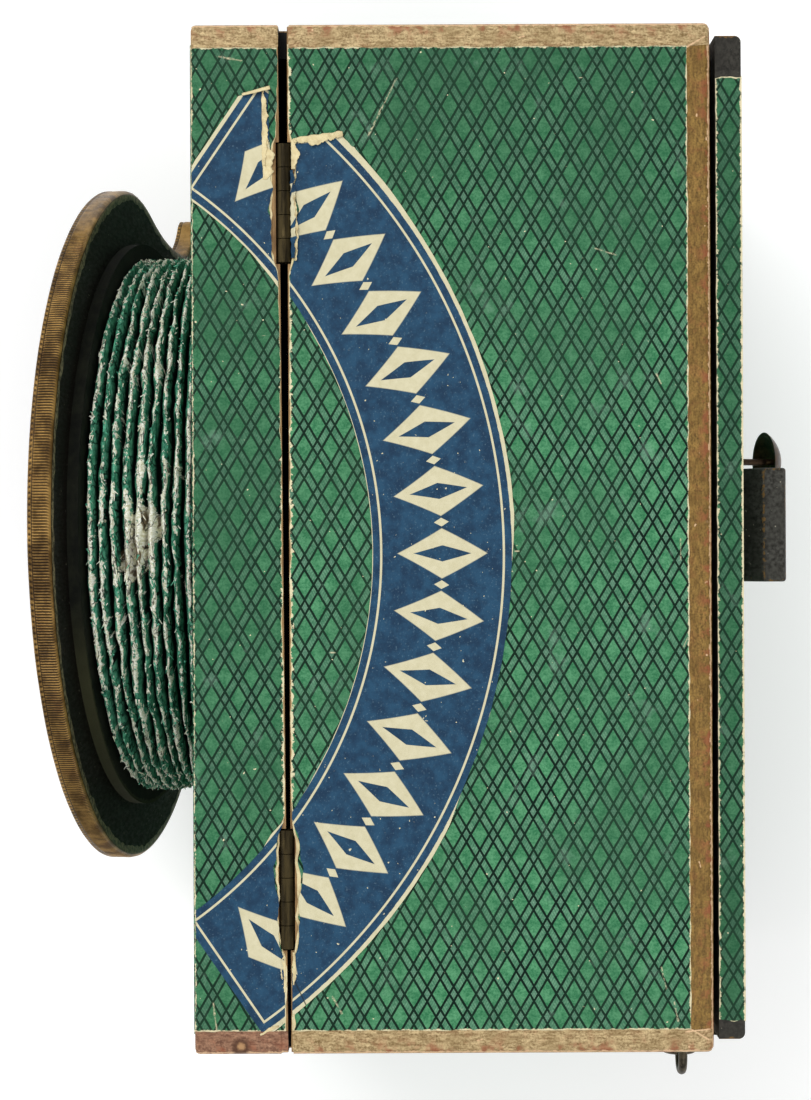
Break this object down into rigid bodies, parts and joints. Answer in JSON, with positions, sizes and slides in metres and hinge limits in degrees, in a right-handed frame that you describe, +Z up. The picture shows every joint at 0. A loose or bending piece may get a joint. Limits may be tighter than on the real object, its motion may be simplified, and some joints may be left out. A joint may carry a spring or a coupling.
{
  "type": "peep box viewer",
  "caption": "Table-top peep box for paper views: papered wooden box with a top lid, a drop door at the back and a round lens board on pleated bellows.",
  "frame": {"origin": "middle of the box's underside", "axes": "+X the viewer's right, +Y away from the viewer towards the back door, +Z up"},
  "size_m": [0.2298, 0.1673, 0.165],
  "materials": {
    "trellis_paper_wood": "green trellis-printed paper on wood, edged in bronze-coloured paper",
    "black_wood": "black paint, worn at the edges",
    "plain_wood": "stained, matt",
    "white_card": "matt",
    "pleated_paper": "green printed paper over cloth, worn white on the folds",
    "stamped_brass": "stamped, reeded, tarnished",
    "old_brass": "dark, tarnished",
    "iron_wire": "dark iron wire",
    "lens_glass": "clear"
  },
  "bodies": {
    "box": {"base_board": "trellis_paper_wood", "side_left": "trellis_paper_wood", "side_right": "trellis_paper_wood", "front_board": "trellis_paper_wood", "top_strip": "trellis_paper_wood", "view_stop_left": "black_wood", "view_stop_right": "black_wood", "view_stop_bottom": "black_wood", "lid_hinge_box_leaves": "old_brass", "lid_hinge_pins": "old_brass", "door_hinge_box_leaves": "old_brass", "door_hinge_pins": "old_brass", "box_hinge_brads": "iron_wire", "rear_collar": "pleated_paper", "bellows": "pleated_paper", "screw_eye": "iron_wire"},
    "lid": {"lid_panel": "trellis_paper_wood", "lid_reflector": "white_card", "lid_hinge_lid_leaves": "old_brass", "lid_hinge_brads": "iron_wire"},
    "door": {"door_panel": "black_wood", "door_pull": "black_wood", "dome_nail": "old_brass", "door_hinge_door_leaves": "old_brass", "door_hinge_brads": "iron_wire", "catch_pin": "iron_wire"},
    "lens_board": {"lens_disc": "black_wood", "rim_band": "stamped_brass", "front_collar": "black_wood", "lens_ring": "black_wood", "lens": "lens_glass", "lens_retainer": "old_brass"},
    "hook": {"wire_hook": "iron_wire"}
  },
  "joints": [
    {"name": "lid_hinge", "type": "hinge", "parent": "box", "child": "lid", "pos_m": [0, -0.0356, 0.1635], "axis": [1, 0, 0], "range_deg": [0, 110]},
    {"name": "door_hinge", "type": "hinge", "parent": "box", "child": "door", "pos_m": [0, 0.0563, 0.0017], "axis": [-1, 0, 0], "range_deg": [0, 90]},
    {"name": "focus_slide", "type": "slide", "parent": "box", "child": "lens_board", "axis": [0, -1, 0], "range_m": [-0.003, 0.04], "deforming": ["bellows"]},
    {"name": "hook_swing", "type": "hinge", "parent": "box", "child": "hook", "pos_m": [0.115, 0.0512, 0.1352], "axis": [1, 0, 0], "range_deg": [-80, 95]}
  ]
}
